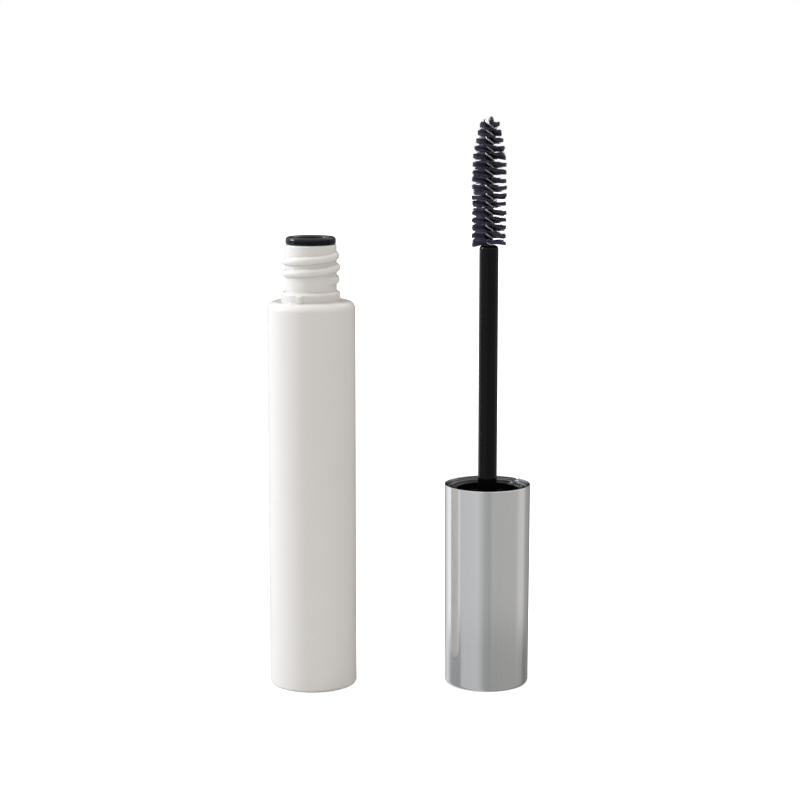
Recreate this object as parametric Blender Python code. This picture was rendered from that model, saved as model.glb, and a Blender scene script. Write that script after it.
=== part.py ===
"""Mascara tube: an open bottle and, beside it, its applicator standing on the closed end of its cap.

Metres, +Z up. The origin is the centre of the bottle's base. The applicator's axis is parallel to
the bottle's, at +X. Run with blender --background --python part.py or from Blender's text editor.
"""
from math import ceil, cos, pi, radians, sin, sqrt

import bmesh
import bpy
from mathutils import Matrix, Vector

MM = 0.001

# overall layout
AXIS_SPACING = 36.0 * MM        # bottle axis to applicator axis
BOTTLE_DIAMETER = 18.0 * MM
BODY_HEIGHT = 79.8 * MM         # base to shoulder
CAP_HEIGHT = 42.0 * MM
CAP_INSET = 0.20 * MM           # the cap's mouth is this much inside the bottle's side, all round
CAP_DRAFT = 0.15 * MM           # and its closed end is this much narrower again

# clearances
FIT_GAP = 0.10 * MM             # between pieces that are pressed or glued together
SLIP_GAP = 0.15 * MM            # between pieces that turn on each other
WIRE_GAP = 0.05 * MM            # between the wire and the fibres it grips
SCREWED_GAP = 0.30 * MM         # cap rim to shoulder when the tube is closed
TIP_GAP = 2.30 * MM             # brush tip to the bottle's inner floor when the tube is closed
THREAD_TIP_GAP = 0.32 * MM      # crest of the cap's thread to the neck
THREAD_ROOT_GAP = 0.22 * MM     # crest of the neck's thread to the insert's bore
THREAD_FLANK_GAP = 0.05 * MM    # between the feet of the two threads, on each side
MOUTH_GAP = 0.35 * MM           # neck's lugs to the insert's mouth
CHANNEL_GAP = 0.35 * MM         # brush to the mascara around it

# bottle
BODY_WALL = 2.5 * MM
BASE_THICKNESS = 2.8 * MM
BASE_EDGE_RADIUS = 0.7 * MM
SHOULDER_EDGE_RADIUS = 1.6 * MM
SHOULDER_THICKNESS = 3.4 * MM
CHAMBER_CORNER_RADIUS = 2.0 * MM
NECK_DIAMETER = 10.5 * MM
NECK_HEIGHT = 11.5 * MM         # shoulder to the rim that the wiper sits on
NECK_WALL = 1.15 * MM
NECK_FILLET = 0.15 * MM
BAND_STANDOUT = 0.75 * MM       # the stouter band at the neck's foot, past the neck
BAND_HEIGHT = 2.0 * MM
BAND_EDGE_RADIUS = 0.55 * MM
LUG_COUNT = 4
LUG_START_ANGLE = 66.0          # degrees, from +X
LUG_WIDTH = 1.1 * MM
LUG_STANDOUT = 0.22 * MM        # past the band
LUG_SET_BACK = 0.45 * MM        # band's top to the lug's top
LUG_ROOT_DEPTH = 0.5 * MM       # sunk into the band

# thread, right handed with one start
THREAD_HEIGHT = 0.75 * MM       # past the neck
THREAD_PITCH = 2.42 * MM
THREAD_RISE = 3.65 * MM         # shoulder to the middle of the thread's start
THREAD_START_ANGLE = -50.0      # degrees, from +X
THREAD_TURNS = 2.25
THREAD_ROOT_WIDTH = 1.5 * MM
THREAD_CREST_WIDTH = 0.5 * MM
THREAD_SINK = 0.35 * MM         # foot of a ridge inside the wall that it grows from
THREAD_FADE_TURNS = 0.25        # at each end, where a ridge rises out of the wall
RIDGE_SHOULDER_RISE = 0.68      # of a ridge's height, where its flank turns over
RIDGE_SHOULDER_WIDTH = 0.55     # of its foot and crest widths together, at that point
CAP_THREAD_TURNS = 1.5
CAP_THREAD_CREST_SHARE = 0.4    # of its width at the foot
CAP_THREAD_LEAD = 1.4 * MM      # start of the neck's thread to start of the cap's, in the closed tube

# wiper
WIPER_FLANGE_INSET = 0.15 * MM  # neck's side to the flange's
WIPER_FLANGE_THICKNESS = 1.4 * MM
WIPER_WALL = 0.55 * MM
WIPER_LENGTH = 10.5 * MM        # under the flange
WIPER_THROAT_LENGTH = 2.6 * MM  # the cone that ends in the lip
WIPER_LIP_HEIGHT = 0.8 * MM
WIPER_EDGE_RADIUS = 0.4 * MM
WIPER_MOUTH_BEVEL = 0.45 * MM

# mascara
PASTE_HEADROOM = 7.5 * MM       # top of the chamber to the mascara

# cap
SHELL_WALL = 0.45 * MM
SHELL_EDGE_RADIUS = 0.9 * MM
SHELL_LIP_BEVEL = 0.12 * MM
INSERT_RECESS = 0.55 * MM       # shell's rim to the insert's face
INSERT_SKIRT_WALL = 1.0 * MM
INSERT_WEB_THICKNESS = 2.0 * MM
INSERT_STEP = 0.35 * MM         # the step around the insert's mouth
HUB_WALL = 1.2 * MM
HUB_LENGTH = 7.5 * MM           # under the web
LINER_THICKNESS = 1.2 * MM
WEIGHT_SIDE_GAP = 1.15 * MM     # filled by glue
WEIGHT_HEIGHT = 9.0 * MM
WEIGHT_CHAMFER = 0.5 * MM

# stem and brush
STEM_DIAMETER = 3.9 * MM
STEM_TIP_RADIUS = 0.8 * MM
STEM_END_BEVEL = 0.3 * MM       # at the end that is pressed into the hub
STEM_BORE_DEPTH = 12.0 * MM
WIRE_DIAMETER = 0.76 * MM
WIRE_INSERTION = 11.0 * MM
TWIST_PITCH = 3.18 * MM         # one full turn of the twisted pair, left handed
BRISTLE_DIAMETER = 7.2 * MM
BRISTLE_TIP_DIAMETER = 3.2 * MM
BRISTLE_LENGTH = 25.4 * MM
BRISTLE_TAPER_LENGTH = 9.8 * MM
BRISTLE_THICKNESS = 0.12 * MM
WIRE_TIP_LENGTH = 0.35 * MM     # wire past the last bristles

# facets
ROUND_STEPS = 40
SMALL_STEPS = 24
THREAD_STEPS = 24               # per turn
WIRE_STEPS = 11                 # per turn
WIRE_SIDES = 6
BRISTLE_STEPS = 16              # per turn

# sizes that follow
BOTTLE_RADIUS = BOTTLE_DIAMETER / 2
CHAMBER_RADIUS = BOTTLE_RADIUS - BODY_WALL
NECK_RADIUS = NECK_DIAMETER / 2
NECK_BORE_RADIUS = NECK_RADIUS - NECK_WALL
NECK_TOP = BODY_HEIGHT + NECK_HEIGHT
CHAMBER_TOP = BODY_HEIGHT - SHOULDER_THICKNESS
THREAD_RADIUS = NECK_RADIUS + THREAD_HEIGHT
BAND_RADIUS = NECK_RADIUS + BAND_STANDOUT
LUG_RADIUS = BAND_RADIUS + LUG_STANDOUT
MOUTH_TOP = NECK_TOP + FIT_GAP + WIPER_FLANGE_THICKNESS
STEM_RADIUS = STEM_DIAMETER / 2
BRISTLE_RADIUS = BRISTLE_DIAMETER / 2

CAP_MOUTH_RADIUS = BOTTLE_RADIUS - CAP_INSET
CAP_END_RADIUS = CAP_MOUTH_RADIUS - CAP_DRAFT
INSERT_FACE = CAP_HEIGHT - INSERT_RECESS
# in the closed tube the top of the wiper presses on the liner
LINER_FACE = CAP_HEIGHT + SCREWED_GAP - (MOUTH_TOP - BODY_HEIGHT)
LINER_BACK = LINER_FACE - LINER_THICKNESS
WEB_TOP = LINER_BACK - FIT_GAP
WEB_BOTTOM = WEB_TOP - INSERT_WEB_THICKNESS
THREAD_BORE_RADIUS = THREAD_RADIUS + THREAD_ROOT_GAP
CAP_THREAD_RADIUS = NECK_RADIUS + THREAD_TIP_GAP
CAP_THREAD_ROOT_WIDTH = THREAD_PITCH - THREAD_ROOT_WIDTH - 2 * THREAD_FLANK_GAP
CAP_THREAD_TOP = CAP_HEIGHT + SCREWED_GAP - THREAD_RISE - CAP_THREAD_LEAD
WEIGHT_BOTTOM = SHELL_WALL + FIT_GAP
WEIGHT_TOP = WEIGHT_BOTTOM + WEIGHT_HEIGHT
SKIRT_BOTTOM = WEIGHT_TOP + FIT_GAP

BRUSH_TIP = CAP_HEIGHT + BODY_HEIGHT + SCREWED_GAP - BASE_THICKNESS - TIP_GAP
BRISTLE_TOP = BRUSH_TIP - WIRE_TIP_LENGTH
BRISTLE_BOTTOM = BRISTLE_TOP - BRISTLE_LENGTH
STEM_TOP = BRISTLE_BOTTOM - SLIP_GAP
STEM_BOTTOM = WEB_BOTTOM - HUB_LENGTH + FIT_GAP
WIRE_OFFSET = BRISTLE_THICKNESS / 2 + WIRE_GAP + WIRE_DIAMETER / 2
CORE_RADIUS = WIRE_OFFSET + WIRE_DIAMETER / 2


def clear_scene():
    for obj in list(bpy.data.objects):
        bpy.data.objects.remove(obj)


def material(name, color, roughness, metallic=0.0, coat=0.0):
    mat = bpy.data.materials.new(name)
    mat.use_nodes = True
    shader = mat.node_tree.nodes["Principled BSDF"]
    shader.inputs["Base Color"].default_value = (*color, 1.0)
    shader.inputs["Roughness"].default_value = roughness
    shader.inputs["Metallic"].default_value = metallic
    shader.inputs["Coat Weight"].default_value = coat
    return mat


def finish(bm, name, mat, parent):
    """Turn a bmesh into the named object, its faces outwards and its round sides smooth."""
    bmesh.ops.recalc_face_normals(bm, faces=bm.faces)
    mesh = bpy.data.meshes.new(name)
    bm.to_mesh(mesh)
    bm.free()
    mesh.shade_smooth()
    mesh.set_sharp_from_angle(angle=radians(35))
    mesh.materials.append(mat)
    obj = bpy.data.objects.new(name, mesh)
    obj.parent = parent
    bpy.context.scene.collection.objects.link(obj)
    return obj


def arc(r, z, radius, start, end, steps=3):
    """Points on an arc about (r, z), angles in degrees from +r towards +z."""
    angles = [radians(start + (end - start) * i / steps) for i in range(steps + 1)]
    return [(r + radius * cos(a), z + radius * sin(a)) for a in angles]


def turned(profile, steps, closed=False):
    """Spin an outline of (radius, height) points about Z into a closed solid."""
    bm = bmesh.new()
    verts = [bm.verts.new((r, 0.0, z)) for r, z in profile]
    edges = [bm.edges.new(pair) for pair in zip(verts, verts[1:])]
    if closed:
        edges.append(bm.edges.new((verts[-1], verts[0])))
    bmesh.ops.spin(bm, geom=verts + edges, cent=(0, 0, 0), axis=(0, 0, 1), angle=2 * pi, steps=steps)
    bmesh.ops.remove_doubles(bm, verts=bm.verts, dist=1e-7)
    bmesh.ops.recalc_face_normals(bm, faces=bm.faces)
    return bm


def swept(rings):
    """Skin a list of rings of points, capped at both ends."""
    bm = bmesh.new()
    loops = [[bm.verts.new(p) for p in ring] for ring in rings]
    for low, high in zip(loops, loops[1:]):
        for i in range(len(low)):
            j = (i + 1) % len(low)
            bm.faces.new((low[i], low[j], high[j], high[i]))
    bm.faces.new(loops[0][::-1])
    bm.faces.new(loops[-1])
    bmesh.ops.recalc_face_normals(bm, faces=bm.faces)
    return bm


def thread_ridge(root, crest, root_width, crest_width, rise, turns, start_angle):
    """A right-handed round-topped ridge, sunk a little into the wall that it grows from.

    Its height fades to nothing at both ends.
    """
    sink = -THREAD_SINK if crest > root else THREAD_SINK
    steps = ceil(turns * THREAD_STEPS)
    rings = []
    for i in range(steps + 1):
        turn = turns * i / steps
        fade = min(1.0, sqrt(min(turn, turns - turn) / THREAD_FADE_TURNS))
        angle = radians(start_angle) + 2 * pi * turn
        middle = rise + THREAD_PITCH * turn
        top = root + (crest - root) * (0.02 + 0.98 * fade)
        foot = root_width * (0.5 + 0.5 * fade) / 2
        tip = crest_width * (0.5 + 0.5 * fade) / 2
        flank = root + RIDGE_SHOULDER_RISE * (top - root)
        waist = RIDGE_SHOULDER_WIDTH * (foot + tip)
        side = [(root + sink, foot), (root, foot), (flank, waist), (top, tip)]
        outline = [(r, -z) for r, z in side] + side[::-1]
        rings.append([(r * cos(angle), r * sin(angle), middle + z) for r, z in outline])
    return swept(rings)


def join(obj, tool_bm, name):
    """Boolean union of an object with a closed bmesh, applied."""
    tool_mesh = bpy.data.meshes.new(name)
    tool_bm.to_mesh(tool_mesh)
    tool_bm.free()
    tool = bpy.data.objects.new(name, tool_mesh)
    tool.parent = obj.parent
    bpy.context.scene.collection.objects.link(tool)
    union = obj.modifiers.new("union", "BOOLEAN")
    union.operation = "UNION"
    union.object = tool
    bpy.context.view_layer.update()
    result = bpy.data.meshes.new_from_object(obj.evaluated_get(bpy.context.evaluated_depsgraph_get()))
    obj.modifiers.clear()
    obj.data = result
    bpy.data.objects.remove(tool)


def lug_blocks():
    """The small upright lugs around the neck's band, each from inside the band to past its face."""
    low = BODY_HEIGHT - SHOULDER_THICKNESS / 4
    high = BODY_HEIGHT + BAND_HEIGHT - LUG_SET_BACK
    inner = BAND_RADIUS - LUG_ROOT_DEPTH
    bm = bmesh.new()
    for i in range(LUG_COUNT):
        block = Matrix.Translation(((inner + LUG_RADIUS) / 2, 0, (low + high) / 2))
        block = block @ Matrix.Diagonal((LUG_RADIUS - inner, LUG_WIDTH, high - low, 1))
        turn = Matrix.Rotation(radians(LUG_START_ANGLE) + 2 * pi * i / LUG_COUNT, 4, "Z")
        bmesh.ops.create_cube(bm, size=1.0, matrix=turn @ block)
    return bm


def make_bottle(parent):
    shoulder = BODY_HEIGHT
    band_top = shoulder + BAND_HEIGHT
    corner = CHAMBER_CORNER_RADIUS
    profile = [(0, 0)]
    edge = BASE_EDGE_RADIUS
    profile += arc(BOTTLE_RADIUS - edge, edge, edge, -90, 0)
    edge = SHOULDER_EDGE_RADIUS
    profile += arc(BOTTLE_RADIUS - edge, shoulder - edge, edge, 0, 90, 5)
    profile += [(BAND_RADIUS, shoulder)]
    profile += arc(BAND_RADIUS - BAND_EDGE_RADIUS, band_top - BAND_EDGE_RADIUS, BAND_EDGE_RADIUS, 0, 90)
    profile += arc(NECK_RADIUS + NECK_FILLET, band_top + NECK_FILLET, NECK_FILLET, 270, 180, 1)[1:]
    profile += [(NECK_RADIUS, NECK_TOP)]
    profile += [(NECK_BORE_RADIUS, NECK_TOP), (NECK_BORE_RADIUS, shoulder)]
    profile += [(CHAMBER_RADIUS, CHAMBER_TOP)]
    profile += arc(CHAMBER_RADIUS - corner, BASE_THICKNESS + corner, corner, 0, -90)
    profile += [(0, BASE_THICKNESS)]
    mat = material("pearl_polymer", (0.78, 0.765, 0.745), 0.18, coat=0.6)
    obj = finish(turned(profile, ROUND_STEPS), "bottle", mat, parent)
    ridge = thread_ridge(NECK_RADIUS, THREAD_RADIUS, THREAD_ROOT_WIDTH, THREAD_CREST_WIDTH,
                         BODY_HEIGHT + THREAD_RISE, THREAD_TURNS, THREAD_START_ANGLE)
    join(obj, ridge, "neck_thread")
    join(obj, lug_blocks(), "neck_lugs")
    return obj


def make_wiper(parent):
    outer = NECK_BORE_RADIUS - FIT_GAP
    inner = outer - WIPER_WALL
    lip_inner = STEM_RADIUS + SLIP_GAP
    lip_outer = lip_inner + WIPER_WALL
    seat = NECK_TOP + FIT_GAP
    flange = NECK_RADIUS - WIPER_FLANGE_INSET
    bottom = seat - WIPER_LENGTH
    throat = bottom + WIPER_LIP_HEIGHT + WIPER_THROAT_LENGTH
    profile = [(outer, seat), (outer, throat), (lip_outer, bottom + WIPER_LIP_HEIGHT), (lip_outer, bottom)]
    profile += [(lip_inner, bottom), (lip_inner, bottom + WIPER_LIP_HEIGHT + WIPER_WALL / 2)]
    profile += [(inner, throat + WIPER_WALL / 2), (inner, MOUTH_TOP - WIPER_MOUTH_BEVEL)]
    profile += [(inner + WIPER_MOUTH_BEVEL, MOUTH_TOP)]
    edge = WIPER_EDGE_RADIUS
    profile += arc(flange - edge, MOUTH_TOP - edge, edge, 90, 0)
    profile += [(flange, seat)]
    mat = material("black_soft_polymer", (0.02, 0.02, 0.022), 0.35)
    return finish(turned(profile, SMALL_STEPS + 8, closed=True), "wiper", mat, parent)


def make_paste(parent):
    outer = CHAMBER_RADIUS - FIT_GAP
    channel = BRISTLE_RADIUS + CHANNEL_GAP
    floor = BASE_THICKNESS + FIT_GAP
    corner = CHAMBER_CORNER_RADIUS
    channel_floor = BASE_THICKNESS + TIP_GAP - SLIP_GAP
    top = CHAMBER_TOP - PASTE_HEADROOM
    profile = [(0, floor)]
    profile += arc(outer - corner, floor + corner, corner, -90, 0)
    profile += [(outer, top), (channel, top), (channel, channel_floor)]
    profile += [(0, channel_floor)]
    mat = material("mascara", (0.008, 0.007, 0.009), 0.25)
    return finish(turned(profile, ROUND_STEPS), "mascara_paste", mat, parent)


def make_shell(parent):
    end = CAP_END_RADIUS
    mouth = CAP_MOUTH_RADIUS
    lip = SHELL_LIP_BEVEL
    inner_corner = SHELL_EDGE_RADIUS - SHELL_WALL / 2
    profile = [(0, 0)]
    profile += arc(end - SHELL_EDGE_RADIUS, SHELL_EDGE_RADIUS, SHELL_EDGE_RADIUS, -90, 0)
    profile += [(mouth, CAP_HEIGHT - lip), (mouth - lip, CAP_HEIGHT)]
    profile += [(mouth - SHELL_WALL + lip, CAP_HEIGHT), (mouth - SHELL_WALL, CAP_HEIGHT - lip)]
    profile += arc(end - SHELL_WALL - inner_corner, SHELL_WALL + inner_corner, inner_corner, 0, -90, 2)
    profile += [(0, SHELL_WALL)]
    mat = material("satin_aluminium", (0.72, 0.73, 0.74), 0.22, metallic=1.0)
    return finish(turned(profile, ROUND_STEPS), "outer_shell", mat, parent)


def shell_bore(height):
    """Inner radius of the tapered shell at a height."""
    share = (height - SHELL_EDGE_RADIUS) / (CAP_HEIGHT - SHELL_EDGE_RADIUS)
    return CAP_END_RADIUS + CAP_DRAFT * share - SHELL_WALL


def make_insert(parent):
    """The black screw insert: mouth step, threaded bore, web, stem hub and a skirt down to the weight."""
    top_radius = shell_bore(INSERT_FACE) - FIT_GAP
    low_radius = shell_bore(SKIRT_BOTTOM) - FIT_GAP
    mouth = LUG_RADIUS + MOUTH_GAP
    step_depth = BAND_HEIGHT
    hub_bore = STEM_RADIUS + FIT_GAP
    hub = hub_bore + HUB_WALL
    skirt_bore = low_radius - INSERT_SKIRT_WALL
    face = INSERT_FACE
    # the step is no wider than a quarter of the wall at the mouth
    step = min(INSERT_STEP, (top_radius - mouth) / 4)
    profile = [(low_radius, SKIRT_BOTTOM), (top_radius, face)]
    profile += [(mouth + 2.5 * step, face), (mouth + 1.5 * step, face - step)]
    profile += [(mouth, face - step), (mouth, face - step_depth)]
    profile += [(THREAD_BORE_RADIUS, face - step_depth - step), (THREAD_BORE_RADIUS, WEB_TOP)]
    profile += [(hub_bore, WEB_TOP), (hub_bore, WEB_BOTTOM - HUB_LENGTH)]
    profile += [(hub, WEB_BOTTOM - HUB_LENGTH), (hub, WEB_BOTTOM)]
    profile += [(skirt_bore, WEB_BOTTOM), (skirt_bore, SKIRT_BOTTOM)]
    mat = material("black_gloss_polymer", (0.012, 0.012, 0.014), 0.12, coat=0.5)
    obj = finish(turned(profile, ROUND_STEPS, closed=True), "inner_cap", mat, parent)
    ridge = thread_ridge(THREAD_BORE_RADIUS, CAP_THREAD_RADIUS, CAP_THREAD_ROOT_WIDTH,
                         CAP_THREAD_ROOT_WIDTH * CAP_THREAD_CREST_SHARE,
                         CAP_THREAD_TOP - CAP_THREAD_TURNS * THREAD_PITCH, CAP_THREAD_TURNS, 0.0)
    join(obj, ridge, "cap_thread")
    return obj


def make_weight(parent):
    radius = CAP_END_RADIUS - SHELL_WALL - WEIGHT_SIDE_GAP
    chamfer = WEIGHT_CHAMFER
    profile = [(0, WEIGHT_BOTTOM), (radius - chamfer, WEIGHT_BOTTOM), (radius, WEIGHT_BOTTOM + chamfer)]
    profile += [(radius, WEIGHT_TOP - chamfer), (radius - chamfer, WEIGHT_TOP), (0, WEIGHT_TOP)]
    mat = material("plated_steel", (0.55, 0.55, 0.56), 0.3, metallic=1.0)
    return finish(turned(profile, ROUND_STEPS), "cap_weight", mat, parent)


def make_liner(parent):
    inner = STEM_RADIUS + SLIP_GAP
    outer = CAP_THREAD_RADIUS - SLIP_GAP
    profile = [(inner, LINER_BACK), (outer, LINER_BACK), (outer, LINER_FACE), (inner, LINER_FACE)]
    mat = material("liner_foam", (0.75, 0.75, 0.73), 0.6)
    return finish(turned(profile, SMALL_STEPS, closed=True), "sealing_liner", mat, parent)


def make_stem(parent):
    bore = CORE_RADIUS + FIT_GAP
    tip = STEM_TIP_RADIUS
    bevel = STEM_END_BEVEL
    profile = [(0, STEM_BOTTOM), (STEM_RADIUS - bevel, STEM_BOTTOM), (STEM_RADIUS, STEM_BOTTOM + bevel)]
    profile += arc(STEM_RADIUS - tip, STEM_TOP - tip, tip, 0, 90)
    profile += [(bore, STEM_TOP), (bore, STEM_TOP - STEM_BORE_DEPTH), (0, STEM_TOP - STEM_BORE_DEPTH)]
    mat = material("black_stem_polymer", (0.01, 0.01, 0.012), 0.1, coat=0.6)
    return finish(turned(profile, SMALL_STEPS), "stem", mat, parent)


def twist(height):
    """Turn of the twisted pair at a height; negative, so the pair is left handed."""
    return -2 * pi * (height - BRISTLE_BOTTOM) / TWIST_PITCH


def make_wire(parent):
    """One wire folded double: up one strand from its cut end to the fold in the stem, and back up."""
    fold = STEM_TOP - WIRE_INSERTION
    steps = ceil((BRUSH_TIP - fold) / TWIST_PITCH * WIRE_STEPS)
    heights = [BRUSH_TIP - (BRUSH_TIP - fold) * i / steps for i in range(steps + 1)]
    path = [Vector((WIRE_OFFSET * cos(twist(z)), WIRE_OFFSET * sin(twist(z)), z)) for z in heights]
    side = path[-1] - Vector((0, 0, fold))
    for i in range(1, 4):
        bend = pi * i / 4
        path.append(Vector((0, 0, fold)) + side * cos(bend) - Vector((0, 0, WIRE_OFFSET * sin(bend))))
    path += [Vector((-p.x, -p.y, p.z)) for p in reversed(path[:steps + 1])]
    rings = []
    across = Vector((path[0].x, path[0].y, 0)).normalized()
    for i, point in enumerate(path):
        along = (path[min(i + 1, len(path) - 1)] - path[max(i - 1, 0)]).normalized()
        if i in (0, len(path) - 1):
            along = Vector((0, 0, -1 if i == 0 else 1))
        across = (across - along * across.dot(along)).normalized()
        other = along.cross(across)
        turn = [2 * pi * k / WIRE_SIDES for k in range(WIRE_SIDES)]
        rings.append([point + (across * cos(a) + other * sin(a)) * WIRE_DIAMETER / 2 for a in turn])
    mat = material("steel_wire", (0.6, 0.6, 0.62), 0.25, metallic=1.0)
    return finish(swept(rings), "core_wire", mat, parent)


def bristle_radius(height):
    """The brush is straight sided, with a rounded taper to its tip."""
    into = (height - (BRISTLE_TOP - BRISTLE_TAPER_LENGTH)) / BRISTLE_TAPER_LENGTH
    if into <= 0:
        return BRISTLE_RADIUS
    return BRISTLE_RADIUS - (BRISTLE_RADIUS - BRISTLE_TIP_DIAMETER / 2) * into ** 1.8


def make_bristles(parent):
    """The fibres as the surface they fill: a thin strip through the axis, twisted with the wire."""
    steps = ceil(BRISTLE_LENGTH / TWIST_PITCH * BRISTLE_STEPS)
    half = BRISTLE_THICKNESS / 2
    rings = []
    for i in range(steps + 1):
        z = BRISTLE_BOTTOM + BRISTLE_LENGTH * i / steps
        reach = bristle_radius(z)
        stations = [-reach, -CORE_RADIUS, 0.0, CORE_RADIUS, reach]
        outline = [(s, -half) for s in stations] + [(s, half) for s in reversed(stations)]
        # the pair's strands lie across this strip
        angle = twist(z) + pi / 2
        rings.append([(s * cos(angle) - w * sin(angle), s * sin(angle) + w * cos(angle), z) for s, w in outline])
    mat = material("bristle_nylon", (0.012, 0.013, 0.03), 0.45)
    return finish(swept(rings), "bristles", mat, parent)


def make_group(name, location):
    empty = bpy.data.objects.new(name, None)
    empty.location = location
    bpy.context.scene.collection.objects.link(empty)
    return empty


clear_scene()
bottle_axis = make_group("bottle_axis", (0, 0, 0))
for make in (make_bottle, make_wiper, make_paste):
    make(bottle_axis)
applicator_axis = make_group("applicator_axis", (AXIS_SPACING, 0, 0))
bpy.context.view_layer.update()
for make in (make_shell, make_insert, make_weight, make_liner, make_stem, make_wire, make_bristles):
    make(applicator_axis)
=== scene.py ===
from math import ceil, cos, pi, radians, sin, tan

import bmesh
import bpy
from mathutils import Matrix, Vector


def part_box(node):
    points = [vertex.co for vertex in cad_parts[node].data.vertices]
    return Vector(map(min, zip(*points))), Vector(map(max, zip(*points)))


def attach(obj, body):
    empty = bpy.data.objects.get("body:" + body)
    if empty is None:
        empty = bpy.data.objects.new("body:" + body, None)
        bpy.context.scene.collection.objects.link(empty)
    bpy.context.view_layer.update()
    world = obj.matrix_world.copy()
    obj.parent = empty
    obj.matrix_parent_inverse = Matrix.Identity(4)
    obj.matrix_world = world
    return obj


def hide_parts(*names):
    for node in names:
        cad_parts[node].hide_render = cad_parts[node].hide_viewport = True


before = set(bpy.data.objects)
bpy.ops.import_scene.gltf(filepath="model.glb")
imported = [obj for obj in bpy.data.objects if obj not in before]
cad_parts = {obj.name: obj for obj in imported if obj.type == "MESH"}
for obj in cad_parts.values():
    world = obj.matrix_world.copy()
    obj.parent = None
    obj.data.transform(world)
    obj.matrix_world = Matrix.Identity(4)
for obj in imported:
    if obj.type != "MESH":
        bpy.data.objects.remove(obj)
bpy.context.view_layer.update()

mm = 0.001

# the two axes that everything is turned about, from the frame
bottleLow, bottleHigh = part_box("bottle")
capLow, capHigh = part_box("outer_shell")
bottleAxis = Vector(((bottleLow[0] + bottleHigh[0]) / 2, (bottleLow[1] + bottleHigh[1]) / 2, 0))
capAxis = Vector(((capLow[0] + capHigh[0]) / 2, (capLow[1] + capHigh[1]) / 2, 0))


class Value:
    # wraps one output socket, so that maths on it reads as Python
    def __init__(self, graph, socket):
        self.graph = graph
        self.socket = socket

    def maths(self, operation, other=None, swapped=False, clamp=False):
        values = [self] if other is None else [other, self] if swapped else [self, other]
        settings = {"operation": operation, "use_clamp": clamp}
        return self.graph.add("ShaderNodeMath", settings, dict(enumerate(values)))

    def __add__(self, other):
        return self.maths("ADD", other)

    def __radd__(self, other):
        return self.maths("ADD", other, swapped=True)

    def __sub__(self, other):
        return self.maths("SUBTRACT", other)

    def __rsub__(self, other):
        return self.maths("SUBTRACT", other, swapped=True)

    def __mul__(self, other):
        return self.maths("MULTIPLY", other)

    def __rmul__(self, other):
        return self.maths("MULTIPLY", other, swapped=True)

    def __truediv__(self, other):
        return self.maths("DIVIDE", other)

    def __rtruediv__(self, other):
        return self.maths("DIVIDE", other, swapped=True)

    def __pow__(self, other):
        return self.maths("POWER", other)

    def __neg__(self):
        return self.maths("MULTIPLY", -1.0)

    def __mod__(self, other):
        return self.maths("FLOORED_MODULO", other)

    def __lt__(self, other):
        return self.maths("LESS_THAN", other)

    def below(self, other):
        return self.maths("MINIMUM", other)

    def above(self, other):
        return self.maths("MAXIMUM", other)

    def sine(self):
        return self.maths("SINE")

    def cosine(self):
        return self.maths("COSINE")

    def size(self):
        return self.maths("ABSOLUTE")

    def clamped(self):
        return self.maths("ADD", 0.0, clamp=True)

    def smooth(self):
        # 0 to 1 with soft ends
        share = self.clamped()
        return share * share * (3.0 - 2.0 * share)


class Graph:
    # adds nodes to one tree: a material's, the world's or a modifier's
    def __init__(self, tree):
        self.tree = tree

    def add(self, kind, settings=None, values=None, output=0):
        node = self.tree.nodes.new(kind)
        for name, setting in (settings or {}).items():
            if name == "stops":
                self.stops(node.color_ramp, setting)
            else:
                setattr(node, name, setting)
        for name, value in (values or {}).items():
            self.plug(value, node.inputs[name])
        return Value(self, node.outputs[output]) if node.outputs else node

    def stops(self, ramp, stops):
        while len(ramp.elements) < len(stops):
            ramp.elements.new(1.0)
        for element, (place, level) in zip(ramp.elements, stops):
            element.position = place
            element.color = (level, level, level, 1.0)

    def plug(self, value, socket):
        if isinstance(value, Value):
            self.tree.links.new(value.socket, socket)
        elif isinstance(value, tuple) and len(value) == 3 and len(socket.default_value) == 4:
            socket.default_value = (*value, 1.0)
        else:
            socket.default_value = value

    def blend(self, share, low, high):
        # mixes two colours
        values = {0: share, 6: low, 7: high}
        return self.add("ShaderNodeMix", {"data_type": "RGBA"}, values, output=2)

    def split(self, vector):
        node = self.add("ShaderNodeSeparateXYZ", values={0: vector}).socket.node
        return [Value(self, socket) for socket in node.outputs]

    def join(self, x, y, z):
        return self.add("ShaderNodeCombineXYZ", values={0: x, 1: y, 2: z})


class Finish(Graph):
    # one material: constant shader settings, and a pattern space centred on an axis
    def __init__(self, name, settings, centre=(0, 0, 0)):
        self.material = bpy.data.materials.new(name)
        self.material.use_nodes = True
        super().__init__(self.material.node_tree)
        self.shader = self.tree.nodes["Principled BSDF"]
        for socket, setting in settings.items():
            self.plug(setting, self.shader.inputs[socket])
        objectPlace = self.add("ShaderNodeTexCoord", output="Object")
        middle = tuple(-c for c in centre)
        values = {"Vector": objectPlace, "Location": middle}
        self.place = self.add("ShaderNodeMapping", values=values)

    def set(self, socket, value):
        self.plug(value, self.shader.inputs[socket])

    def noise(self, scale, detail=3.0, roughness=0.5, stretch=(1, 1, 1)):
        stretched = {0: self.place, 1: stretch}
        place = self.add("ShaderNodeVectorMath", {"operation": "MULTIPLY"}, stretched)
        values = {"Vector": place, "Scale": scale, "Detail": detail, "Roughness": roughness}
        return self.add("ShaderNodeTexNoise", values=values)

    def bump(self, height, distance, strength=1.0, under=None):
        values = {"Height": height, "Distance": distance, "Strength": strength}
        if under:
            values["Normal"] = under
        return self.add("ShaderNodeBump", values=values)


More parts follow.
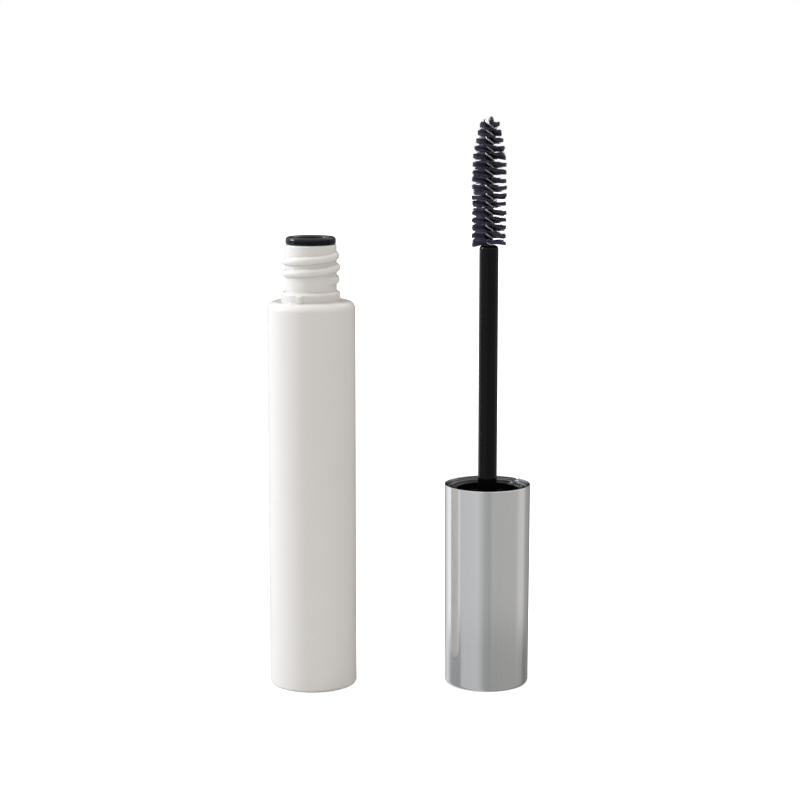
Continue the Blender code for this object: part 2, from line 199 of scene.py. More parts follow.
class Build(Graph):
    # one Geometry Nodes tree with named inputs, which run() applies to an outline
    kinds = {int: "NodeSocketInt", float: "NodeSocketFloat"}
    doublesGap = 0.0005 * mm

    def __init__(self, name, inputs):
        super().__init__(bpy.data.node_groups.new(name, "GeometryNodeTree"))
        self.name = name
        for way in ("INPUT", "OUTPUT"):
            self.tree.interface.new_socket(
                "Geometry", in_out=way, socket_type="NodeSocketGeometry")
        self.sockets = {}
        for label, start in inputs.items():
            kind = self.kinds[type(start)]
            socket = self.tree.interface.new_socket(label, in_out="INPUT", socket_type=kind)
            socket.default_value = start
            self.sockets[label] = socket.identifier
        self.source = self.tree.nodes.new("NodeGroupInput")
        self.end = self.tree.nodes.new("NodeGroupOutput")

    def given(self, label):
        return Value(self, self.source.outputs[label])

    def random(self, low, high, identity, seed):
        values = {2: low, 3: high, "ID": identity, "Seed": seed}
        return self.add("FunctionNodeRandomValue", {"data_type": "FLOAT"}, values, output=1)

    def close(self, geometry):
        # the end of every tree; run() gives it its material
        real = self.add("GeometryNodeRealizeInstances", values={"Geometry": geometry})
        painted = self.add("GeometryNodeSetMaterial", values={"Geometry": real})
        self.materialNode = painted.socket.node
        self.tree.links.new(self.materialNode.outputs[0], self.end.inputs[0])

    def run(self, name, points, settings, finish, sharpAngle=38):
        self.materialNode.inputs["Material"].default_value = finish.material
        source = bpy.data.meshes.new("outline")
        source.from_pydata(points, [(i, i + 1) for i in range(len(points) - 1)], [])
        holder = bpy.data.objects.new("outline", source)
        bpy.context.scene.collection.objects.link(holder)
        modifier = holder.modifiers.new(self.name, "NODES")
        modifier.node_group = self.tree
        for label, value in settings.items():
            modifier[self.sockets[label]] = value
        ready = holder.evaluated_get(bpy.context.evaluated_depsgraph_get())
        mesh = bpy.data.meshes.new_from_object(ready)
        bpy.data.objects.remove(holder)
        return self.tidied(name, mesh, finish, sharpAngle)

    def tidied(self, name, mesh, finish, sharpAngle):
        # one plain closed mesh with its faces outwards
        work = bmesh.new()
        work.from_mesh(mesh)
        bmesh.ops.remove_doubles(work, verts=work.verts, dist=self.doublesGap)
        bmesh.ops.recalc_face_normals(work, faces=work.faces)
        for face in work.faces:
            face.smooth = True
        for edge in work.edges:
            gentle = edge.calc_face_angle(0) < radians(sharpAngle)
            edge.smooth = len(edge.link_faces) != 2 or gentle
        work.to_mesh(mesh)
        work.free()
        mesh.name = name
        mesh.materials.clear()
        mesh.materials.append(finish.material)
        piece = bpy.data.objects.new(name, mesh)
        bpy.context.scene.collection.objects.link(piece)
        print(name, len(mesh.polygons), "faces")
        return piece


outlineRows = {
    "arcStep": 9,  # degrees of a fillet to each row
    "hold": 0.08,  # mm from a fillet's end to the row that keeps the flat beside it flat
}


def outline(corners):
    # a line through corners (radius, height, fillet, row spacing up to the next corner), in mm
    arcStep, hold = outlineRows["arcStep"], outlineRows["hold"]
    points = []
    places = [Vector(corner[:2]) for corner in corners]
    for index, corner in enumerate(corners):
        place = places[index]
        fillet = corner[2] if len(corner) > 2 else 0
        inner = 0 < index < len(corners) - 1
        if inner and fillet:
            back = (places[index - 1] - place).normalized()
            ahead = (places[index + 1] - place).normalized()
            opening = back.angle(ahead)
            reach = fillet / tan(opening / 2)
            middle = place + (back + ahead).normalized() * fillet / sin(opening / 2)
            start, end = place + back * reach, place + ahead * reach
            count = max(2, ceil((180 - opening * 180 / pi) / arcStep))
            first, last = start - middle, end - middle
            turn = first.angle(last)
            points.append(start + back * hold)
            for step in range(count + 1):
                share = step / count
                weights = sin((1 - share) * turn) / sin(turn), sin(share * turn) / sin(turn)
                points.append(middle + first * weights[0] + last * weights[1])
            points.append(end + ahead * hold)
        else:
            points.append(place)
        if len(corner) > 3 and corner[3]:
            start, end = points[-1], places[index + 1]
            following = corners[index + 1][2] if len(corners[index + 1]) > 2 else 0
            span = (end - start).length - following - hold * 2
            count = int(span / corner[3])
            way = (end - start).normalized()
            points.extend(start + way * corner[3] * (step + 1) for step in range(count))
    return [(p.x * mm, 0, p.y * mm) for p in points]


turningDetails = {
    "ridgePower": 0.6, "fadeTurns": 0.25, "threadReach": 0.05,
    "lugSideEdge": 0.14, "lugTopEdge": 0.12, "lugReach": 0.03, "mergeGap": 0.001,
}


def makeTurning(s):
    # turns an outline about an upright axis, with a helical thread and a ring of lugs on it
    turning = Build("turned piece", {
        "Steps": 192, "Axis X": 0.0, "Axis Y": 0.0,
        "Thread Root": 0.0, "Thread Height": 0.0, "Thread Start": 0.0, "Thread Angle": 0.0,
        "Thread Pitch": 0.002, "Thread Turns": 1.0, "Root Width": 0.001, "Roundness": 2.2,
        "Lug Count": 4.0, "Lug Angle": 0.0, "Lug Width": 0.001, "Lug Height": 0.0,
        "Lug Root": 0.0, "Lug Top": 0.0,
    })
    given = turning.given
    line = given("Geometry")
    rows = turning.add("GeometryNodeAttributeDomainSize", values={"Geometry": line})
    steps = given("Steps")
    grid = turning.add("GeometryNodeMeshGrid",
                       values={"Vertices X": steps + 1, "Vertices Y": rows})
    index = turning.add("GeometryNodeInputIndex")
    row = index % rows
    column = ((index - row) / rows + 0.5).maths("FLOOR")
    place = turning.add("GeometryNodeInputPosition")
    sample = turning.add("GeometryNodeSampleIndex", {"data_type": "FLOAT_VECTOR"},
                         {"Geometry": line, "Value": place, "Index": row})
    radius, _, height = turning.split(sample)
    angle = (column % steps) / steps * (2 * pi)

    # thread: distance to the nearest turn of the helix, then a rounded ridge
    around = ((angle - given("Thread Angle")) / (2 * pi)) % 1.0
    climbed = (height - given("Thread Start")) / given("Thread Pitch") - around
    turns = around + (climbed + 0.5).maths("FLOOR")
    offset = ((climbed - (climbed + 0.5).maths("FLOOR")) * given("Thread Pitch")).size()
    across = (offset / (given("Root Width") / 2)).below(1.0)
    ridge = (1 - across ** given("Roundness")) ** s["ridgePower"]
    fade = turns.below(given("Thread Turns") - turns) / s["fadeTurns"]
    fade = fade.clamped().maths("SQRT")
    onRoot = (radius - given("Thread Root")).size() < s["threadReach"] * mm
    thread = ridge * fade * onRoot * given("Thread Height")

    # lugs: short upright blocks at even angles
    spacing = (2 * pi) / given("Lug Count")
    fromLug = (angle - given("Lug Angle") + spacing / 2) % spacing - spacing / 2
    side = fromLug.size() * given("Lug Root")
    lug = ((given("Lug Width") / 2 - side) / (s["lugSideEdge"] * mm) + 0.5).smooth()
    lug = lug * ((given("Lug Top") - height) / (s["lugTopEdge"] * mm) + 0.5).smooth()
    lug = lug * ((radius - given("Lug Root")).size() < s["lugReach"] * mm)

    finalRadius = radius + thread + lug * given("Lug Height")
    where = turning.join(finalRadius * angle.cosine() + given("Axis X"),
                         finalRadius * angle.sine() + given("Axis Y"), height)
    turned = turning.add("GeometryNodeSetPosition", values={"Geometry": grid, "Position": where})
    merged = turning.add("GeometryNodeMergeByDistance",
                         values={"Geometry": turned, "Distance": s["mergeGap"] * mm})
    turning.close(merged)
    return turning


turning = makeTurning(turningDetails)


def turn(name, corners, finish, axis, settings=None, steps=192):
    sizes = {"Steps": steps, "Axis X": axis.x, "Axis Y": axis.y, **(settings or {})}
    return turning.run(name, outline(corners), sizes, finish)


def settle(piece, body, node):
    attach(piece, body)
    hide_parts(node)


# finishes

def pearlPolymer():
    finish = Finish("pearl polymer", {
        "Metallic": 0.0, "IOR": 1.5, "Subsurface Weight": 0.25, "Subsurface Scale": 0.0015,
        "Subsurface Radius": (1.0, 0.85, 0.7), "Coat Weight": 0.0,
    }, bottleAxis)
    cloud = finish.noise(60, 4, 0.55, (1, 1, 0.35))
    finish.set("Base Color", finish.blend(cloud, (0.595, 0.562, 0.53), (0.635, 0.602, 0.57)))
    skin = finish.noise(900, 3, 0.6)
    finish.set("Roughness", 0.25 + (skin - 0.5) * 0.08 + (cloud - 0.5) * 0.06)
    finish.set("Normal", finish.bump(skin, 0.012 * mm, 0.5))
    return finish


def softBlack():
    finish = Finish("soft black polymer", {"Metallic": 0.0, "IOR": 1.3}, bottleAxis)
    film = finish.noise(420, 4, 0.6)
    finish.set("Base Color", finish.blend(film, (0.003, 0.003, 0.004), (0.007, 0.007, 0.011)))
    finish.set("Roughness", 0.13 + (film - 0.5) * 0.1)
    skin = finish.bump(finish.noise(2600, 2), 0.01 * mm, 0.5)
    finish.set("Normal", finish.bump(film, 0.12 * mm, 0.5, skin))
    return finish


def wetPaste():
    settings = {"Metallic": 0.0, "IOR": 1.45, "Coat Roughness": 0.05}
    finish = Finish("wet mascara", settings, bottleAxis)
    lumps = finish.noise(350, 5, 0.6)
    finish.set("Base Color", finish.blend(lumps, (0.006, 0.005, 0.008), (0.014, 0.012, 0.017)))
    finish.set("Roughness", 0.18 + lumps * 0.3)
    finish.set("Coat Weight", 0.3 + lumps * 0.5)
    finish.set("Normal", finish.bump(lumps, 0.25 * mm, 0.6))
    return finish


def polishedAluminium():
    finish = Finish("polished aluminium", {"IOR": 1.45}, capAxis)
    grain = finish.noise(1400, 3, 0.6, (1, 1, 0.015))
    haze = finish.noise(90, 3, 0.5, (1, 1, 0.3))
    finish.set("Base Color", finish.blend(grain, (0.83, 0.84, 0.85), (0.9, 0.905, 0.91)))
    finish.set("Metallic", 1 - (haze - 0.5).clamped() * 0.05)
    finish.set("Roughness", 0.07 + (grain - 0.5) * 0.05 + (haze - 0.5) * 0.04)
    finish.set("Normal", finish.bump(grain, 0.0012 * mm, 0.6))
    return finish


def glossBlack(name, tone, roughness):
    finish = Finish(name, {"Metallic": 0.0, "IOR": 1.28}, capAxis)
    cloud = finish.noise(300, 3, 0.5, (1, 1, 0.4))
    finish.set("Base Color", finish.blend(cloud, tone, tuple(c * 1.9 for c in tone)))
    finish.set("Roughness", roughness + (cloud - 0.5) * 0.06)
    finish.set("Normal", finish.bump(finish.noise(1500, 2), 0.004 * mm, 0.5))
    return finish


def turnedSteel():
    finish = Finish("turned steel", {"IOR": 1.45}, capAxis)
    x, y, z = finish.split(finish.place)
    radius = (x * x + y * y).maths("SQRT")
    rings = ((radius + z) * (2 * pi / (0.12 * mm))).sine()
    haze = finish.noise(200, 4)
    finish.set("Base Color", finish.blend(haze, (0.42, 0.42, 0.43), (0.58, 0.58, 0.59)))
    finish.set("Metallic", 1 - (haze - 0.5).clamped() * 0.1)
    finish.set("Roughness", 0.26 + haze * 0.15)
    finish.set("Normal", finish.bump(rings, 0.004 * mm, 0.5))
    return finish


def linerFoam():
    finish = Finish("liner foam", {"Metallic": 0.0, "IOR": 1.4}, capAxis)
    scale = {"Vector": finish.place, "Scale": 5200.0}
    cells = finish.add("ShaderNodeTexVoronoi", values=scale)
    finish.set("Base Color", finish.blend(cells, (0.62, 0.62, 0.6), (0.76, 0.76, 0.74)))
    finish.set("Roughness", 0.75 + cells * 0.15)
    finish.set("Normal", finish.bump(cells, 0.05 * mm, 0.6))
    return finish


def stainedWire():
    finish = Finish("stained wire", {"IOR": 1.45}, capAxis)
    stain = finish.noise(520, 4, 0.6)
    _, _, z = finish.split(finish.place)
    nearTip = (z - 115.2 * mm) / (0.6 * mm)
    film = ((stain - 0.66) * 8.0 + nearTip.clamped()).clamped()
    finish.set("Base Color", finish.blend(film, (0.72, 0.72, 0.75), (0.006, 0.006, 0.01)))
    finish.set("Metallic", 1 - film)
    finish.set("Roughness", 0.26 + film * 0.1)
    finish.set("Normal", finish.bump(stain, 0.03 * mm, 0.4))
    return finish


def inkFibre():
    finish = Finish("ink fibre", {"Metallic": 0.0, "IOR": 1.4}, capAxis)
    tuft = finish.noise(1300, 3, 0.6)
    x, y, z = finish.split(finish.place)
    # painted shade: the fibres are drawn near-black close to the wire, where they shade one
    # another and the core, and turn to their own navy tone further out
    outward = (((x * x + y * y).maths("SQRT") - 0.6 * mm) / (1.2 * mm)).smooth()
    fibreTone = finish.blend(tuft, (0.034, 0.032, 0.052), (0.112, 0.105, 0.168))
    finish.set("Base Color", finish.blend(outward, (0.004, 0.004, 0.006), fibreTone))
    finish.set("Roughness", 0.38 + (tuft - 0.5) * 0.3)
    finish.set("Normal", finish.bump(finish.noise(5200, 2), 0.02 * mm, 0.4))
    return finish


pearl = pearlPolymer()
aluminium = polishedAluminium()
insertBlack = glossBlack("gloss black insert", (0.002, 0.002, 0.0025), 0.1)
stemBlack = glossBlack("gloss black stem", (0.0015, 0.0015, 0.002), 0.09)
print("finishes ready")

# the bottle and what it holds

bottleSizes = {
    "radius": 9.0, "height": 79.8, "baseFillet": 0.7, "shoulderFillet": 1.6,
    "chamberRadius": 6.5, "chamberLow": 2.8, "chamberTop": 76.4, "chamberFillet": 2.0,
    "bandRadius": 6.0, "bandTop": 81.8, "bandFillet": 0.55,
    "neckRadius": 5.25, "neckTop": 91.3, "neckFillet": 0.3, "boreRadius": 4.1,
    "threadHeight": 0.75, "threadStart": 83.83, "threadAngle": -50, "threadPitch": 2.42,
    "threadTurns": 2.25, "threadRoot": 1.6, "roundness": 2.2,
    "lugAngle": 70, "lugWidth": 1.1, "lugHeight": 0.22, "lugTop": 81.35,
}


def makeBottle(s):
    corners = [
        (0, 0), (s["radius"], 0, s["baseFillet"]),
        (s["radius"], s["height"], s["shoulderFillet"]),
        (s["bandRadius"], s["height"], 0.12, 0.3),
        (s["bandRadius"], s["bandTop"], s["bandFillet"]),
        (s["neckRadius"], s["bandTop"], 0.12, 0.075),
        (s["neckRadius"], s["neckTop"], s["neckFillet"]),
        (s["boreRadius"], s["neckTop"], 0.25),
        (s["boreRadius"], s["chamberTop"], 0.3),
        (s["chamberRadius"], s["chamberTop"], s["chamberFillet"]),
        (s["chamberRadius"], s["chamberLow"], s["chamberFillet"]),
        (0, s["chamberLow"]),
    ]
    raised = {
        "Thread Root": s["neckRadius"] * mm, "Thread Height": s["threadHeight"] * mm,
        "Thread Start": s["threadStart"] * mm, "Thread Angle": radians(s["threadAngle"]),
        "Thread Pitch": s["threadPitch"] * mm, "Thread Turns": s["threadTurns"],
        "Root Width": s["threadRoot"] * mm, "Roundness": s["roundness"],
        "Lug Angle": radians(s["lugAngle"]), "Lug Width": s["lugWidth"] * mm,
        "Lug Height": s["lugHeight"] * mm, "Lug Root": s["bandRadius"] * mm,
        "Lug Top": s["lugTop"] * mm,
    }
    return turn("bottle_moulding", corners, pearl, bottleAxis, raised, steps=288)


settle(makeBottle(bottleSizes), "bottle", "bottle")

wiperSizes = {
    "flangeRadius": 5.1, "low": 91.4, "top": 92.8, "tubeRadius": 4.0, "innerRadius": 3.45,
    "bottom": 80.9, "coneHeight": 2.6, "lipRadius": 2.1, "lipOuter": 2.65, "lipHeight": 0.8,
    "grooveHeight": 91.85, "grooveDepth": 0.07, "grooveWidth": 0.12,
    "dishRadius": 4.3, "dishDepth": 0.3, "throatDepth": 1.2,
}


def makeWiper(s):
    groove, half = s["grooveHeight"], s["grooveWidth"] / 2
    throat = s["bottom"] + s["lipHeight"]
    cone = throat + s["coneHeight"]
    corners = [
        (s["lipRadius"], s["bottom"]), (s["lipOuter"], s["bottom"], 0.15),
        (s["lipOuter"], throat, 0.3), (s["tubeRadius"], cone - 0.3, 0.5),
        (s["tubeRadius"], s["low"], 0.08),
        (s["flangeRadius"], s["low"], 0.18),
        (s["flangeRadius"], groove - half, 0.02),
        (s["flangeRadius"] - s["grooveDepth"], groove, 0.03),
        (s["flangeRadius"], groove + half, 0.02),
        (s["flangeRadius"], s["top"], 0.6),
        (s["dishRadius"], s["top"], 0.3),
        (s["innerRadius"] + 0.15, s["top"] - s["dishDepth"], 0.3),
        (s["innerRadius"], s["top"] - s["throatDepth"], 0.5),
        (s["innerRadius"], cone, 0.5), (s["lipRadius"], throat, 0.3),
        (s["lipRadius"], s["bottom"]),
    ]
    return turn("wiper_insert", corners, softBlack(), bottleAxis)


settle(makeWiper(wiperSizes), "bottle", "wiper")

pasteSizes = {
    "radius": 6.4, "low": 2.9, "top": 68.9, "fillet": 1.95,
    "channelRadius": 3.95, "channelLow": 4.95,
}


def makePaste(s):
    corners = [
        (0, s["low"]), (s["radius"], s["low"], s["fillet"], 2), (s["radius"], s["top"], 0.4),
        (s["channelRadius"], s["top"], 0.9, 2), (s["channelRadius"], s["channelLow"], 1.2),
        (0, s["channelLow"]),
    ]
    return turn("mascara_fill", corners, wetPaste(), bottleAxis, steps=128)


settle(makePaste(pasteSizes), "bottle", "mascara_paste")
print("bottle group ready")

# the cap: shell, insert, weight and liner

shellSizes = {
    "mouthRadius": 8.8, "endRadius": 8.65, "height": 42.0, "wall": 0.42,
    "endFillet": 0.9, "lipFillet": 0.06,
}


def makeShell(s):
    inner, wall = s["mouthRadius"] - s["wall"], s["wall"]
    corners = [
        (0, 0), (s["endRadius"], 0, s["endFillet"], 3),
        (s["mouthRadius"], s["height"], s["lipFillet"]),
        (inner, s["height"], s["lipFillet"]),
        (s["endRadius"] - wall, wall, s["endFillet"] - wall + 0.1), (0, wall),
    ]
    return turn("cap_shell", corners, aluminium, capAxis, steps=256)


settle(makeShell(shellSizes), "applicator", "outer_shell")

insertSizes = {
    "face": 41.45, "topRadius": 8.25, "step": 0.35, "mouthRadius": 6.37, "mouthDepth": 2.0,
    "boreRadius": 6.22, "webTop": 28.0, "webLow": 26.0,
    "hubBore": 2.05, "hubRadius": 3.25, "hubLow": 18.5,
    "skirtWall": 1.0, "skirtLow": 9.65, "skirtRadius": 8.1,
    "threadHeight": -0.65, "threadStart": 33.62, "threadAngle": 0.0, "threadPitch": 2.42,
    "threadTurns": 1.5, "threadRoot": 0.82, "roundness": 2.2,
}


def makeInsert(s):
    inner = s["skirtRadius"] - s["skirtWall"]
    mouthLow = s["face"] - s["mouthDepth"]
    corners = [
        (s["hubBore"], s["hubLow"]), (s["hubRadius"], s["hubLow"], 0.2),
        (s["hubRadius"], s["webLow"], 0.4), (inner, s["webLow"], 0.5),
        (inner, s["skirtLow"], 0.2), (s["skirtRadius"], s["skirtLow"], 0.2),
        (s["topRadius"], s["face"], 0.12), (s["mouthRadius"] + 2.2 * s["step"], s["face"], 0.15),
        (s["mouthRadius"] + 1.6 * s["step"], s["face"] - s["step"], 0.15),
        (s["mouthRadius"], s["face"] - s["step"], 0.18), (s["mouthRadius"], mouthLow, 0.1),
        (s["boreRadius"], mouthLow, 0.12, 0.075), (s["boreRadius"], s["webTop"], 0.2),
        (s["hubBore"], s["webTop"], 0.15), (s["hubBore"], s["hubLow"]),
    ]
    raised = {
        "Thread Root": s["boreRadius"] * mm, "Thread Height": s["threadHeight"] * mm,
        "Thread Start": s["threadStart"] * mm, "Thread Angle": s["threadAngle"],
        "Thread Pitch": s["threadPitch"] * mm, "Thread Turns": s["threadTurns"],
        "Root Width": s["threadRoot"] * mm, "Roundness": s["roundness"],
    }
    return turn("cap_insert", corners, insertBlack, capAxis, raised, steps=224)


settle(makeInsert(insertSizes), "applicator", "inner_cap")

weightSizes = {"radius": 7.05, "low": 0.55, "top": 9.55, "chamfer": 0.5}


def makeWeight(s):
    cut = s["chamfer"]
    corners = [
        (0, s["low"]), (s["radius"] - cut, s["low"], 0.1), (s["radius"], s["low"] + cut, 0.1),
        (s["radius"], s["top"] - cut, 0.1), (s["radius"] - cut, s["top"], 0.1), (0, s["top"]),
    ]
    return turn("cap_slug", corners, turnedSteel(), capAxis, steps=128)


settle(makeWeight(weightSizes), "applicator", "cap_weight")

linerSizes = {"innerRadius": 2.1, "radius": 5.42, "low": 28.1, "top": 29.3, "edge": 0.12}


def makeLiner(s):
    corners = [
        (s["innerRadius"], s["low"]), (s["radius"], s["low"], s["edge"]),
        (s["radius"], s["top"], s["edge"]), (s["innerRadius"], s["top"]),
        (s["innerRadius"], s["low"]),
    ]
    return turn("liner_ring", corners, linerFoam(), capAxis, steps=128)


settle(makeLiner(linerSizes), "liner", "sealing_liner")
print("cap ready")

# the stem

stemSizes = {
    "radius": 1.95, "low": 18.6, "top": 91.1, "fillet": 0.8,
    "boreRadius": 0.97, "boreDepth": 12.0,
}


def makeStem(s):
    corners = [
        (0, s["low"]), (s["radius"], s["low"], 0.3, 2), (s["radius"], s["top"], s["fillet"]),
        (s["boreRadius"], s["top"], 0.08), (s["boreRadius"], s["top"] - s["boreDepth"]),
        (0, s["top"] - s["boreDepth"]),
    ]
    return turn("applicator_stem", corners, stemBlack, capAxis, steps=96)


settle(makeStem(stemSizes), "applicator", "stem")

# the brush: two strands of one wire twisted together, with fibres held between them

brushSizes = {
    "low": 91.25, "high": 116.0, "tip": 117.0, "pitch": 3.18, "twistStart": 90.6,
    "strandOffset": 0.49, "wireRadius": 0.38, "fold": 80.1, "wireTuck": 0.7, "sharpAngle": 60,
    "reach": 3.6, "taperLength": 9.8, "taperDepth": 1.8, "taperPower": 1.8,
    "fibres": 9400, "fibreRadius": 0.058, "fibrePoints": 4, "fibreSides": 3,
    "spread": 13.0, "lean": 0.46, "clumpSpacing": 0.4, "clumpPull": 0.42, "seed": 7,
}

# how a fibre differs from its neighbours, as shares of the sizes above
fibreDetails = {
    "strayPower": 4.0, "clumpLean": 0.55, "ownLean": 0.7, "clumpTurn": 0.5, "turnLoss": 0.6,
    "ownLoss": 0.06, "clumpLoss": 0.04, "gatherPower": 1.3, "thinning": 0.35,
}


def twistAt(height, given):
    # left-handed
    return (height - given("Twist Start")) / given("Pitch") * (-2 * pi)


def makeWireTree():
    wire = Build("twisted wire", {
        "Axis X": 0.0, "Axis Y": 0.0, "Twist Start": 0.0, "Tip": 0.0, "Fold": 0.0, "Pitch": 0.003,
        "Offset": 0.0005, "Radius": 0.0004, "Points": 900, "Sides": 14,
    })
    given = wire.given
    straight = wire.add("GeometryNodeCurvePrimitiveLine")
    line = wire.add("GeometryNodeResampleCurve",
                    values={"Curve": straight, "Count": given("Points")})
    index = wire.add("GeometryNodeInputIndex")
    share = index / (given("Points") - 1) * 2 - 1
    bend = given("Offset") * (pi / 2)
    along = share * (given("Tip") - given("Fold") + bend - given("Offset"))
    turn = (along / bend).above(-1.0).below(1.0) * (pi / 2)
    side = turn.sine() * given("Offset")
    rise = (along.size() - bend).above(0.0)
    height = given("Fold") + given("Offset") + rise - turn.cosine() * given("Offset")
    angle = twistAt(height, given)
    where = wire.join(given("Axis X") + side * angle.cosine(),
                      given("Axis Y") + side * angle.sine(), height)
    bent = wire.add("GeometryNodeSetPosition", values={"Geometry": line, "Position": where})
    ring = wire.add("GeometryNodeCurvePrimitiveCircle",
                    values={"Resolution": given("Sides"), "Radius": given("Radius")})
    tube = wire.add("GeometryNodeCurveToMesh",
                    values={"Curve": bent, "Profile Curve": ring, "Fill Caps": True})
    wire.close(tube)
    return wire


def makeWire(s):
    settings = {
        "Axis X": capAxis.x, "Axis Y": capAxis.y, "Twist Start": s["twistStart"] * mm,
        "Tip": (s["tip"] - s["wireRadius"] * s["wireTuck"]) * mm,
        "Fold": s["fold"] * mm, "Pitch": s["pitch"] * mm, "Offset": s["strandOffset"] * mm,
        "Radius": s["wireRadius"] * mm,
    }
    return makeWireTree().run("brush_wire", [(0, 0, 0)], settings, stainedWire(), s["sharpAngle"])


def makeFibreTree(s):
    brush = Build("brush fibres", {
        "Axis X": 0.0, "Axis Y": 0.0, "Low": 0.0, "High": 0.1, "Tip": 0.1, "Twist Start": 0.0,
        "Pitch": 0.003, "Count": 1000,
        "Fibre Points": 5, "Fibre Radius": 0.0001, "Reach": 0.003, "Taper Length": 0.01,
        "Taper Depth": 0.001, "Taper Power": 2.0, "Spread": 0.2, "Lean": 0.0003,
        "Clump Spacing": 0.0004, "Clump Pull": 0.7, "Sides": 4, "Seed": 1,
    })
    given = brush.given
    seed = given("Seed")
    starts = brush.add("GeometryNodePoints", values={"Count": given("Count")})
    straight = brush.add("GeometryNodeCurvePrimitiveLine")
    line = brush.add("GeometryNodeResampleCurve",
                     values={"Curve": straight, "Count": given("Fibre Points")})
    many = brush.add("GeometryNodeInstanceOnPoints", values={"Points": starts, "Instance": line})
    single = brush.add("GeometryNodeRealizeInstances", values={"Geometry": many})
    index = brush.add("GeometryNodeInputIndex")
    step = index % given("Fibre Points")
    fibre = ((index - step) / given("Fibre Points") + 0.5).maths("FLOOR")
    out = step / (given("Fibre Points") - 1)
    span = given("High") - given("Low")
    base = given("Low") + span * (fibre + brush.random(0.0, 1.0, fibre, seed)) / given("Count")
    half = fibre % 2.0

    # fibres drawn together into clumps towards their tips
    shift = half * 0.5
    clump = ((base - given("Low")) / given("Clump Spacing") + shift).maths("FLOOR")
    clumpKey = clump * 2 + half
    middle = given("Low") + (clump + 0.5 - shift) * given("Clump Spacing")
    middle = middle.above(given("Low")).below(given("High"))
    stray = brush.random(0.0, 1.0, fibre, seed + 1)
    pull = given("Clump Pull") * (1 - stray ** s["strayPower"])
    tipBase = base + (middle - base) * pull
    clumpLean = brush.random(-1.0, 1.0, clumpKey, seed + 2) * given("Lean") * s["clumpLean"]
    ownLean = brush.random(-1.0, 1.0, fibre, seed + 3) * given("Lean") * s["ownLean"]
    clumpTurn = brush.random(-1.0, 1.0, clumpKey, seed + 4) * given("Spread") * s["clumpTurn"]
    freedom = 1 - pull * s["turnLoss"]
    ownTurn = brush.random(-1.0, 1.0, fibre, seed + 5) * given("Spread") * freedom

    into = ((tipBase - (given("High") - given("Taper Length"))) / given("Taper Length")).clamped()
    reach = given("Reach") - given("Taper Depth") * into ** given("Taper Power")
    ownLoss = brush.random(0.0, s["ownLoss"], fibre, seed + 6)
    clumpLoss = brush.random(0.0, s["clumpLoss"], clumpKey, seed + 7)
    reach = reach * (1 - ownLoss - clumpLoss)
    gather = out ** s["gatherPower"]
    height = (base + (tipBase - base + clumpLean + ownLean) * gather).below(given("Tip"))
    angle = twistAt(base + (tipBase - base) * gather, given) + (clumpTurn + ownTurn) * gather
    angle = angle + pi / 2 + half * pi
    radius = reach * out
    where = brush.join(given("Axis X") + radius * angle.cosine(),
                       given("Axis Y") + radius * angle.sine(), height)
    placed = brush.add("GeometryNodeSetPosition", values={"Geometry": single, "Position": where})
    thickness = 1 - out * s["thinning"]
    sized = brush.add("GeometryNodeSetCurveRadius", values={"Curve": placed, "Radius": thickness})
    ring = brush.add("GeometryNodeCurvePrimitiveCircle",
                     values={"Resolution": given("Sides"), "Radius": given("Fibre Radius")})
    hairs = brush.add("GeometryNodeCurveToMesh",
                      values={"Curve": sized, "Profile Curve": ring, "Fill Caps": True})
    brush.close(hairs)
    return brush


def makeFibres(s):
    settings = {
        "Axis X": capAxis.x, "Axis Y": capAxis.y, "Low": s["low"] * mm, "High": s["high"] * mm,
        "Tip": (s["tip"] - s["fibreRadius"]) * mm, "Twist Start": s["twistStart"] * mm,
        "Pitch": s["pitch"] * mm, "Count": s["fibres"], "Fibre Points": s["fibrePoints"],
        "Fibre Radius": s["fibreRadius"] * mm, "Reach": s["reach"] * mm,
        "Taper Length": s["taperLength"] * mm, "Taper Depth": s["taperDepth"] * mm,
        "Taper Power": s["taperPower"], "Spread": radians(s["spread"]), "Lean": s["lean"] * mm,
        "Clump Spacing": s["clumpSpacing"] * mm, "Clump Pull": s["clumpPull"],
        "Sides": s["fibreSides"], "Seed": s["seed"],
    }
    tree = makeFibreTree(fibreDetails)
    return tree.run("brush_fibres", [(0, 0, 0)], settings, inkFibre(), s["sharpAngle"])


settle(makeWire(brushSizes), "applicator", "core_wire")
settle(makeFibres(brushSizes), "applicator", "bristles")
print("brush ready")

# floor, light and camera

studio = {
    "backWhite": 1.0, "above": 1.5, "aboveStart": 0.26, "aboveEnd": 0.62,
    "ring": [
        (-180, 0.03), (-172, 0.06), (-160, 0.42), (-140, 0.78), (-128, 0.93), (-88, 0.95),
        (-79, 0.56), (-26, 0.58), (-8, 0.41), (4, 0.36), (14, 0.44), (84, 0.45), (97, 0.58),
        (114, 0.58), (124, 0.38), (156, 0.26), (172, 0.06), (180, 0.03),
    ],
    "tableRing": [
        (-180, 0.4), (-142, 0.7), (-130, 0.62), (-118, 0.34), (-107, 0.3), (-80, 0.31),
        (-74, 0.5), (-26, 0.52), (-8, 0.33), (4, 0.3), (14, 0.32), (84, 0.34), (97, 0.34),
        (112, 0.3), (122, 0.18), (150, 0.25), (180, 0.3),
    ],
    "cool": (0.975, 1.0, 1.02), "warm": (1.02, 1.0, 0.97),
    "keyAzimuth": -98.0, "keyHeight": 25.0, "keyDistance": 1.2, "keySize": 0.36, "keyPower": 11.6,
    "keyColour": (0.9, 0.98, 1.08), "keyAim": (0.018, 0, 0.06),
    "tableEdge": -0.27, "tableSoft": 0.012, "floorSize": 3.0, "floorGlow": 0.66,
}


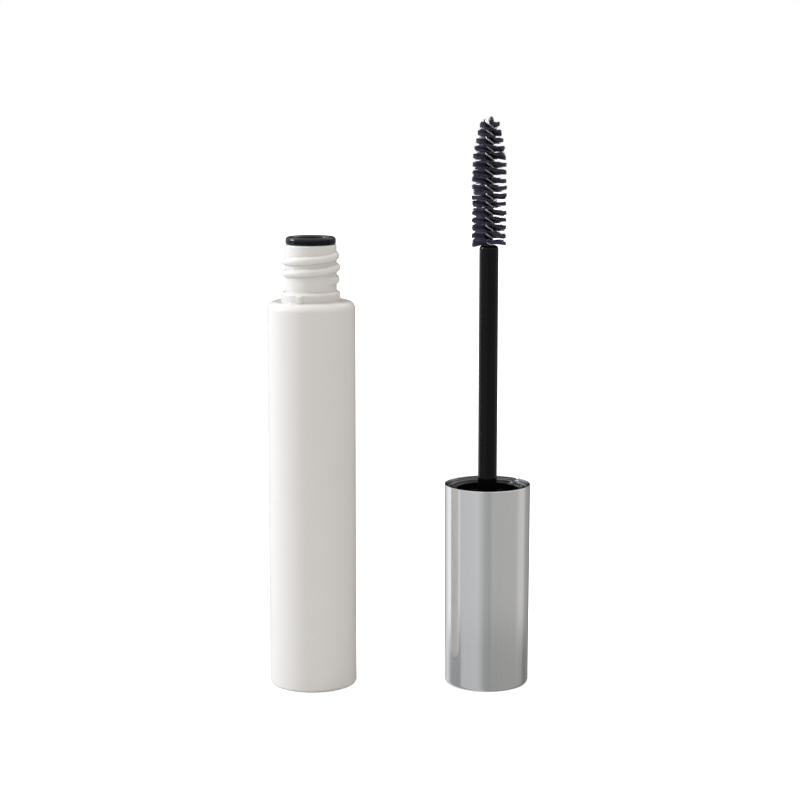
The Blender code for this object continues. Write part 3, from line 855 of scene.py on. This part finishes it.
def makeFloor(s):
    half = s["floorSize"] / 2
    mesh = bpy.data.meshes.new("floor")
    corners = [(-half, -half, 0), (half, -half, 0), (half, half, 0), (-half, half, 0)]
    mesh.from_pydata(corners, [], [(0, 1, 2, 3)])
    floor = bpy.data.objects.new("floor", mesh)
    bpy.context.scene.collection.objects.link(floor)
    paper = Finish("pale floor", {"Roughness": 0.9, "Emission Strength": s["floorGlow"]})
    mottle = paper.noise(40, 3)
    paper.set("Base Color", paper.blend(mottle, (0.66, 0.66, 0.66), (0.7, 0.7, 0.7)))
    paper.set("Emission Color", paper.add("ShaderNodeLightPath"))
    mesh.materials.append(paper.material)
    floor.visible_glossy = False


def makeWorld(s):
    # brightness by direction: a ring of soft boxes and cards, a ceiling and a table
    world = bpy.data.worlds.new("studio")
    bpy.context.scene.world = world
    world.use_nodes = True
    sky = Graph(world.node_tree)
    direction = sky.add("ShaderNodeTexCoord", output="Generated")
    x, y, z = sky.split(direction)
    azimuth = x.maths("ARCTAN2", -y) / (2 * pi) + 0.5

    def aroundRing(ring):
        brightest = max(value for _, value in ring)
        stops = [((angle + 180) / 360, value / brightest) for angle, value in ring]
        return sky.add("ShaderNodeValToRGB", {"stops": stops}, {0: azimuth}) * brightest

    ring, table = aroundRing(s["ring"]), aroundRing(s["tableRing"])
    low = ((s["tableEdge"] + s["tableSoft"] - z) / (2 * s["tableSoft"])).smooth()
    high = ((z - s["aboveStart"]) / (s["aboveEnd"] - s["aboveStart"])).smooth()
    light = ring + (table - ring) * low
    light = light + (s["above"] - light) * high
    seen = sky.add("ShaderNodeLightPath")
    background = world.node_tree.nodes["Background"]
    sky.plug(light + (s["backWhite"] - light) * seen, background.inputs["Strength"])
    tint = sky.blend(x * 0.5 + 0.5, s["cool"], s["warm"])
    sky.plug(sky.blend(seen, tint, (1.0, 1.0, 1.0)), background.inputs["Color"])


def makeKeyLight(s):
    azimuth, rise = radians(s["keyAzimuth"]), radians(s["keyHeight"])
    way = Vector((sin(azimuth) * cos(rise), -cos(azimuth) * cos(rise), sin(rise)))
    lamp = bpy.data.lights.new("key light", "AREA")
    lamp.shape = "DISK"
    lamp.size = s["keySize"]
    lamp.energy = s["keyPower"]
    lamp.color = s["keyColour"]
    key = bpy.data.objects.new("key light", lamp)
    bpy.context.scene.collection.objects.link(key)
    key.location = Vector(s["keyAim"]) + way * s["keyDistance"]
    key.rotation_euler = way.to_track_quat("Z", "Y").to_euler()


view = {
    "place": (0.01804, -0.4395, 0.13158), "aim": (0.01804, 0, 0.05938), "angle": 20.793,
    "sensorWidth": 36, "nearest": 0.01,
}


def makeCamera(s):
    lens = bpy.data.cameras.new("camera")
    lens.sensor_width = s["sensorWidth"]
    lens.angle = radians(s["angle"])
    lens.clip_start = s["nearest"]
    camera = bpy.data.objects.new("camera", lens)
    bpy.context.scene.collection.objects.link(camera)
    camera.location = s["place"]
    aim = Vector(s["aim"]) - camera.location
    camera.rotation_euler = aim.to_track_quat("-Z", "Y").to_euler()
    bpy.context.scene.camera = camera


makeFloor(studio)
makeWorld(studio)
makeKeyLight(studio)
makeCamera(view)
bpy.context.scene.view_settings.view_transform = "Standard"
print("studio ready")
